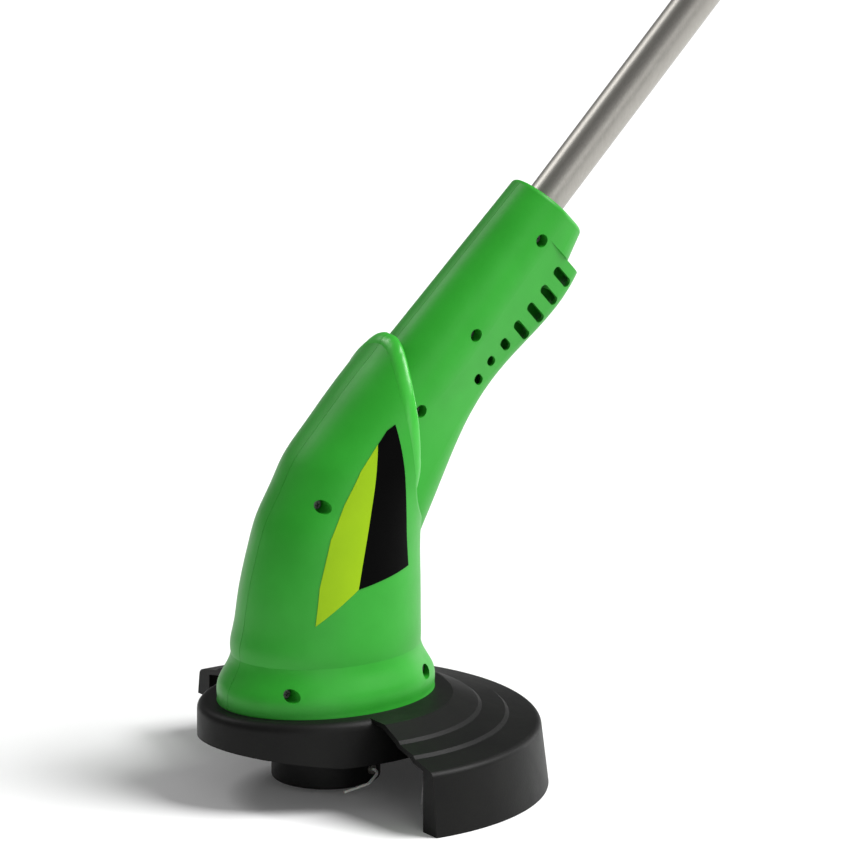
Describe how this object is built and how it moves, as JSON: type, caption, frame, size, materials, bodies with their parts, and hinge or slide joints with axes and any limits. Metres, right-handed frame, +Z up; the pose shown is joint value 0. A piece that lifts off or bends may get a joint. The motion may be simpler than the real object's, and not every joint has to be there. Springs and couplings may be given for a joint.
{
  "type": "string trimmer",
  "caption": "Corded electric string trimmer: bent motor pod, half-round guard, bump-feed line head, straight tube, loop front handle and trigger rear handle.",
  "frame": {"origin": "on the motor axis at the floor under the line head's tap button", "axes": "+Z up the motor axis, +X towards the operator in the plane of the tube, +Y to the operator's right"},
  "size_m": [0.8532, 0.291, 0.865],
  "materials": {
    "green_plastic": "satin moulded",
    "black_plastic": "matte moulded",
    "dark_nylon": "matte moulded",
    "aluminium": "brushed",
    "steel": "zinc plated",
    "lamination": "stacked sheet",
    "copper": "enamelled wire",
    "brass": "plain",
    "carbon": "pressed",
    "cable_rubber": "matte",
    "soft_rubber": "matte",
    "clear_nylon": "translucent"
  },
  "bodies": {
    "frame": {"housing_left": "green_plastic", "housing_right": "green_plastic", "housing_screws": "steel", "guard": "black_plastic", "guard_screws": "steel", "line_cutter": "steel", "cutter_rivets": "steel", "shaft_tube": "aluminium", "lower_bearing": "steel", "upper_bearing": "steel", "motor_bracket": "dark_nylon", "stator_core": "lamination", "field_coils": "copper", "end_bell": "dark_nylon", "brush_holders": "brass", "carbon_brushes": "carbon", "handle_left": "green_plastic", "handle_right": "green_plastic", "handle_screws": "steel", "trigger_pin": "steel", "switch_body": "dark_nylon", "power_inlet": "black_plastic", "inlet_pins": "brass", "motor_lead": "cable_rubber", "inlet_lead": "cable_rubber", "front_clamp": "black_plastic", "clamp_bolt": "steel"},
    "rotor": {"motor_shaft": "steel", "armature_core": "lamination", "armature_winding": "copper", "commutator": "copper", "fan": "dark_nylon", "head_base": "black_plastic", "head_cover": "black_plastic", "line_eyelets": "aluminium", "cutting_line": "clear_nylon", "spool_spring": "steel"},
    "tap": {"tap_button": "black_plastic", "spool_clip": "steel"},
    "spool": {"spool": "dark_nylon", "wound_line": "clear_nylon"},
    "trigger": {"trigger": "black_plastic"},
    "lock": {"lock_button": "black_plastic"},
    "front_loop": {"front_handle": "black_plastic", "front_grip": "soft_rubber"},
    "knob": {"clamp_knob": "black_plastic"}
  },
  "joints": [
    {"name": "rotor_spin", "type": "hinge", "parent": "frame", "child": "rotor", "pos_m": [0, 0, 0.1], "axis": [0, 0, 1], "continuous": true},
    {"name": "tap_bump", "type": "slide", "parent": "rotor", "child": "tap", "axis": [0, 0, 1], "range_m": [0, 0.004], "stiffness_N_per_m": 1500, "springref_m": -0.006, "deforming": ["spool_spring"]},
    {"name": "spool_feed", "type": "hinge", "parent": "tap", "child": "spool", "pos_m": [0, 0, 0.015], "axis": [0, 0, 1], "continuous": true},
    {"name": "trigger_pull", "type": "hinge", "parent": "frame", "child": "trigger", "pos_m": [0.57276, 0, 0.75013], "axis": [0, -1, 0], "range_deg": [0, 9], "stiffness_Nm_per_rad": 3, "springref_deg": -8.59},
    {"name": "lock_press", "type": "slide", "parent": "frame", "child": "lock", "axis": [0.7071, 0, -0.7071], "range_m": [0, 0.003], "stiffness_N_per_m": 800, "springref_m": -0.003},
    {"name": "front_tilt", "type": "hinge", "parent": "frame", "child": "front_loop", "pos_m": [0.34719, 0, 0.5882], "axis": [0, 1, 0], "range_deg": [-35, 35]},
    {"name": "knob_turn", "type": "hinge", "parent": "frame", "child": "knob", "pos_m": [0.34719, 0, 0.5882], "axis": [0, 1, 0], "continuous": true}
  ]
}
